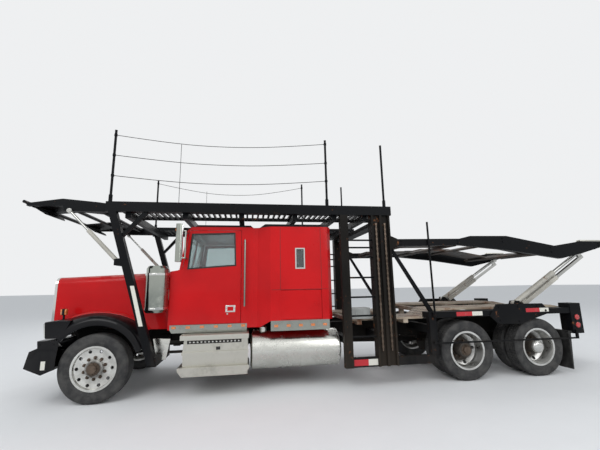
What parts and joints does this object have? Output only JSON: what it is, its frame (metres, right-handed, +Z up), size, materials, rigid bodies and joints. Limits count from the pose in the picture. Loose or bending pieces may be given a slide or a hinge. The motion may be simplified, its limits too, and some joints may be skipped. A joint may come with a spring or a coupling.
{
  "type": "car transporter truck",
  "caption": "Bonneted sleeper-cab truck with a black car-carrying rack: head rack and front ramp over the cab, masts, tilting rear upper deck and low tail coupling.",
  "frame": {"origin": "on the ground, in the middle of the truck's length and width", "axes": "+X to the truck's rear, +Y to its right side, +Z up"},
  "size_m": [9.6799, 2.58, 3.96],
  "materials": {
    "red_paint": "gloss, faded along the hood's upper edges",
    "rack_black": "dusty semi-gloss with rust at joints and edges",
    "fender_black": "gloss black",
    "chassis_black": "matt, road grime",
    "polished_aluminium": "polished, dulled by weather",
    "bright_chrome": "mirror",
    "clear_glass": "clear, slightly tinted",
    "tyre_rubber": "grey with road dust",
    "flap_rubber": "matt",
    "wheel_aluminium": "satin, brake dust in the dish",
    "amber_lens": "ribbed lens",
    "cab_plastic": "grained",
    "seat_fabric": "woven",
    "deck_steel": "worn and rusted, dusty brown",
    "engine_iron": "cast",
    "rod_chrome": "ground bright",
    "valve_grey": "grey enamel"
  },
  "bodies": {
    "truck": {"chassis_frame": "chassis_black", "engine_block": "engine_iron", "front_axle": "chassis_black", "springs": "chassis_black", "drive_axles": "chassis_black", "bumper": "fender_black", "cab_shell": "red_paint", "roof_caps": "fender_black", "cab_glass": "clear_glass", "sleeper_shell": "red_paint", "brightwork": "bright_chrome", "marker_lamps": "amber_lens", "air_cleaners": "polished_aluminium", "cab_interior": "cab_plastic", "seats": "seat_fabric", "step_boxes": "polished_aluminium", "fuel_tanks": "polished_aluminium", "head_rails": "rack_black", "head_floor": "rack_black", "head_legs": "rack_black", "posts_and_masts": "rack_black", "rack_beams": "rack_black", "rear_frames": "rack_black", "safety_posts": "rack_black", "mudflaps": "flap_rubber", "lower_deck": "deck_steel", "stinger": "rack_black", "valve_box": "valve_grey"},
    "hood": {"hood_shell": "red_paint", "front_fenders": "fender_black", "grille": "bright_chrome"},
    "rear_deck": {"deck_arms": "rack_black", "deck_floor": "deck_steel"},
    "lift_lower": {"lift_barrels": "rack_black"},
    "lift_upper": {"lift_rods": "rod_chrome"},
    "front_ramp": {"head_ramp": "rack_black"},
    "ramp_lower": {"ramp_barrels": "rack_black"},
    "ramp_upper": {"ramp_rods": "rod_chrome"},
    "cab_door_left": {"door_left": "red_paint", "door_glass_left": "clear_glass", "mirror_head_left": "bright_chrome"},
    "luggage_hatch_left": {"hatch_left": "red_paint"},
    "steering_left": {"knuckle_left": "chassis_black"},
    "front_wheel_left": {"steer_tyre_left": "tyre_rubber", "steer_rim_left": "wheel_aluminium"},
    "twin_wheel_front_left": {"drive_tyres_front_left": "tyre_rubber", "drive_rims_front_left": "wheel_aluminium"},
    "twin_wheel_rear_left": {"drive_tyres_rear_left": "tyre_rubber", "drive_rims_rear_left": "wheel_aluminium"},
    "cab_door_right": {"door_right": "red_paint", "door_glass_right": "clear_glass", "mirror_head_right": "bright_chrome"},
    "luggage_hatch_right": {"hatch_right": "red_paint"},
    "steering_right": {"knuckle_right": "chassis_black"},
    "front_wheel_right": {"steer_tyre_right": "tyre_rubber", "steer_rim_right": "wheel_aluminium"},
    "twin_wheel_front_right": {"drive_tyres_front_right": "tyre_rubber", "drive_rims_front_right": "wheel_aluminium"},
    "twin_wheel_rear_right": {"drive_tyres_rear_right": "tyre_rubber", "drive_rims_rear_right": "wheel_aluminium"}
  },
  "joints": [
    {"name": "cab_door_left", "type": "hinge", "parent": "truck", "child": "cab_door_left", "pos_m": [-2.73025, -1, 1.7], "axis": [0, 0, -1], "range_deg": [0, 70]},
    {"name": "luggage_hatch_left", "type": "hinge", "parent": "truck", "child": "luggage_hatch_left", "pos_m": [-1.10675, -1.15, 1.262], "axis": [0, 0, -1], "range_deg": [0, 80]},
    {"name": "steer_left", "type": "hinge", "parent": "truck", "child": "steering_left", "pos_m": [-3.72, -0.88, 0.465], "axis": [0, 0, 1], "range_deg": [-32, 32]},
    {"name": "spin_front_left", "type": "hinge", "parent": "steering_left", "child": "front_wheel_left", "pos_m": [-3.72, -1.002, 0.465], "axis": [0, 1, 0], "continuous": true},
    {"name": "spin_twin_front_left", "type": "hinge", "parent": "truck", "child": "twin_wheel_front_left", "pos_m": [1.932, -0.942, 0.465], "axis": [0, 1, 0], "continuous": true},
    {"name": "spin_twin_rear_left", "type": "hinge", "parent": "truck", "child": "twin_wheel_rear_left", "pos_m": [3.252, -0.942, 0.465], "axis": [0, 1, 0], "continuous": true},
    {"name": "cab_door_right", "type": "hinge", "parent": "truck", "child": "cab_door_right", "pos_m": [-2.73025, 1, 1.7], "axis": [0, 0, 1], "range_deg": [0, 70]},
    {"name": "luggage_hatch_right", "type": "hinge", "parent": "truck", "child": "luggage_hatch_right", "pos_m": [-1.10675, 1.15, 1.262], "axis": [0, 0, 1], "range_deg": [0, 80]},
    {"name": "steer_right", "type": "hinge", "parent": "truck", "child": "steering_right", "pos_m": [-3.72, 0.88, 0.465], "axis": [0, 0, 1], "range_deg": [-32, 32]},
    {"name": "spin_front_right", "type": "hinge", "parent": "steering_right", "child": "front_wheel_right", "pos_m": [-3.72, 1.002, 0.465], "axis": [0, 1, 0], "continuous": true},
    {"name": "spin_twin_front_right", "type": "hinge", "parent": "truck", "child": "twin_wheel_front_right", "pos_m": [1.932, 0.942, 0.465], "axis": [0, 1, 0], "continuous": true},
    {"name": "spin_twin_rear_right", "type": "hinge", "parent": "truck", "child": "twin_wheel_rear_right", "pos_m": [3.252, 0.942, 0.465], "axis": [0, 1, 0], "continuous": true},
    {"name": "hood_tilt", "type": "hinge", "parent": "truck", "child": "hood", "pos_m": [-4.38, 0, 0.8], "axis": [0, -1, 0], "range_deg": [0, 30]},
    {"name": "deck_tilt", "type": "hinge", "parent": "truck", "child": "rear_deck", "pos_m": [0.78, 0, 2.22], "axis": [0, -1, 0], "range_deg": [-6, 8]},
    {"name": "lift_swing", "type": "hinge", "parent": "truck", "child": "lift_lower", "pos_m": [2.985, 0, 1.181], "axis": [0, -1, 0], "range_deg": [-10.8, 14.4]},
    {"name": "lift_stroke", "type": "slide", "parent": "lift_lower", "child": "lift_upper", "axis": [0.8548, 0, 0.519], "range_m": [-0.22, 0.292]},
    {"name": "ramp_tilt", "type": "hinge", "parent": "truck", "child": "front_ramp", "pos_m": [-3.63, 0, 2.745], "axis": [0, 1, 0], "range_deg": [-10, 10]},
    {"name": "ramp_swing", "type": "hinge", "parent": "truck", "child": "ramp_lower", "pos_m": [-3.458, 0, 1.93], "axis": [0, 1, 0], "range_deg": [-3.3, 3.3]},
    {"name": "ramp_stroke", "type": "slide", "parent": "ramp_lower", "child": "ramp_upper", "axis": [-0.6885, 0, 0.7252], "range_m": [-0.078, 0.078]}
  ],
  "couplings": [
    {"joint": "steer_right", "follows": "steer_left", "ratio": 1},
    {"joint": "lift_swing", "follows": "deck_tilt", "ratio": 1.78},
    {"joint": "lift_stroke", "follows": "deck_tilt", "m_per_rad": 2.063},
    {"joint": "ramp_swing", "follows": "ramp_tilt", "ratio": 0.3125},
    {"joint": "ramp_stroke", "follows": "ramp_tilt", "m_per_rad": 0.4357}
  ]
}
